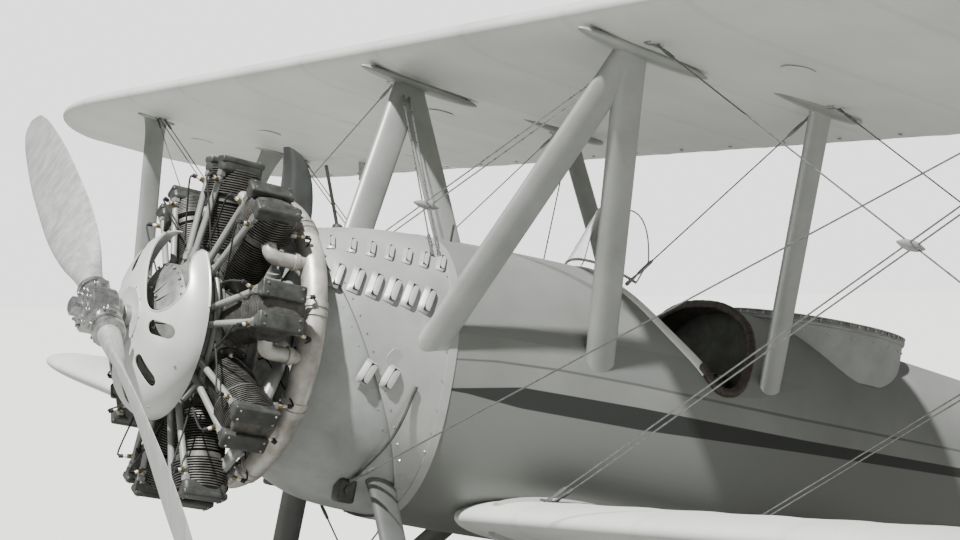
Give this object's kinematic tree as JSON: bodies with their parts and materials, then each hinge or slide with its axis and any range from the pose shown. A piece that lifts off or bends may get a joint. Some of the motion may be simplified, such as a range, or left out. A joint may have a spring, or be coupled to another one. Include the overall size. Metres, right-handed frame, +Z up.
{
  "type": "two-seat radial-engined biplane",
  "caption": "Two-seat biplane with open radial engine, staggered wings on N-struts, fixed gear and tail skid; propeller, wheels and control surfaces turn.",
  "frame": {"origin": "on the ground, below the middle of the aircraft as it stands parked on its wheels and tail skid", "axes": "+X to port along the span, -Y to the nose, +Z up; the fuselage is pitched 11.85 degrees nose-up, as parked"},
  "size_m": [10.5, 7.4478, 2.9878],
  "materials": {
    "silver_fabric": "silver-grey doped fabric over ribs",
    "silver_panel": "silver-grey painted sheet metal",
    "dark_panel": "dull dark grey painted sheet metal",
    "engine_iron": "dark finned cylinders, oily",
    "polished_metal": "polished forged alloy blades",
    "exhaust_steel": "heat-dulled sheet steel pipe",
    "strut_paint": "silver-grey painted streamlined tube",
    "steel": "bare steel wire and fittings",
    "wheel_paint": "silver-grey doped wheel discs",
    "tyre_rubber": "smooth dark rubber",
    "black_panel": "black crackle panel",
    "seat_leather": "dark brown leather over a bucket seat",
    "clear_pane": "clear curved pane"
  },
  "bodies": {
    "airframe": {"fuselage_nose": "silver_fabric", "fuselage_front_bay": "silver_fabric", "fuselage_rear_bay": "silver_fabric", "fuselage_tail": "silver_fabric", "air_scoop": "dark_panel", "upper_wing": "silver_fabric", "tailplane": "silver_fabric", "fin": "silver_fabric", "louvred_cowl": "silver_panel", "crankcase_cowl": "silver_panel", "cone_cowl": "dark_panel", "engine": "engine_iron", "exhaust_collector": "exhaust_steel", "axle": "steel", "tail_skid": "steel", "windscreen": "clear_pane", "seat_front": "seat_leather", "seat_rear": "seat_leather", "instrument_panel": "black_panel", "rear_cockpit_ring": "steel", "cabane_stays": "steel", "lower_wing_port": "silver_fabric", "lower_wing_starboard": "silver_fabric", "cabane_vee_port": "strut_paint", "cabane_vee_starboard": "strut_paint", "cabane_back_port": "strut_paint", "cabane_back_starboard": "strut_paint", "interplane_front_port": "strut_paint", "interplane_front_starboard": "strut_paint", "interplane_diagonal_port": "strut_paint", "interplane_diagonal_starboard": "strut_paint", "interplane_rear_port": "strut_paint", "interplane_rear_starboard": "strut_paint", "gear_leg_port": "strut_paint", "gear_leg_starboard": "strut_paint", "stays_front_port": "steel", "stays_front_starboard": "steel", "stays_rear_port": "steel", "stays_rear_starboard": "steel"},
    "propeller": {"propeller": "polished_metal"},
    "wheel_port": {"tyre_port": "tyre_rubber", "wheel_port": "wheel_paint"},
    "wheel_starboard": {"tyre_starboard": "tyre_rubber", "wheel_starboard": "wheel_paint"},
    "rudder": {"rudder": "silver_fabric"},
    "elevator_port": {"elevator_port": "silver_fabric"},
    "elevator_starboard": {"elevator_starboard": "silver_fabric"},
    "aileron_port": {"aileron_port": "silver_fabric"},
    "aileron_starboard": {"aileron_starboard": "silver_fabric"}
  },
  "joints": [
    {"name": "propeller_spin", "type": "hinge", "parent": "airframe", "child": "propeller", "pos_m": [0, -3.57145, 1.91833], "axis": [0, 0.9787, -0.2054], "continuous": true},
    {"name": "wheel_port_spin", "type": "hinge", "parent": "airframe", "child": "wheel_port", "pos_m": [0.86, -2.66817, 0.38], "axis": [1, 0, 0], "continuous": true},
    {"name": "wheel_starboard_spin", "type": "hinge", "parent": "airframe", "child": "wheel_starboard", "pos_m": [-0.86, -2.66817, 0.38], "axis": [1, 0, 0], "continuous": true},
    {"name": "rudder_turn", "type": "hinge", "parent": "airframe", "child": "rudder", "pos_m": [0, 3.05224, 0.5282], "axis": [0, 0.2054, 0.9787], "range_deg": [-28, 28]},
    {"name": "elevator_port_turn", "type": "hinge", "parent": "airframe", "child": "elevator_port", "pos_m": [0.9, 2.92993, 0.76333], "axis": [1, 0, 0], "range_deg": [-25, 25]},
    {"name": "elevator_starboard_turn", "type": "hinge", "parent": "airframe", "child": "elevator_starboard", "pos_m": [-0.9, 2.92993, 0.76333], "axis": [1, 0, 0], "range_deg": [-25, 25]},
    {"name": "aileron_port_turn", "type": "hinge", "parent": "airframe", "child": "aileron_port", "pos_m": [3.46, -0.99111, 2.65021], "axis": [1, 0, 0], "range_deg": [-20, 20]},
    {"name": "aileron_starboard_turn", "type": "hinge", "parent": "airframe", "child": "aileron_starboard", "pos_m": [-3.46, -0.99111, 2.65021], "axis": [1, 0, 0], "range_deg": [-20, 20]}
  ],
  "couplings": [
    {"joint": "elevator_starboard_turn", "follows": "elevator_port_turn", "ratio": 1},
    {"joint": "aileron_starboard_turn", "follows": "aileron_port_turn", "ratio": -1}
  ]
}
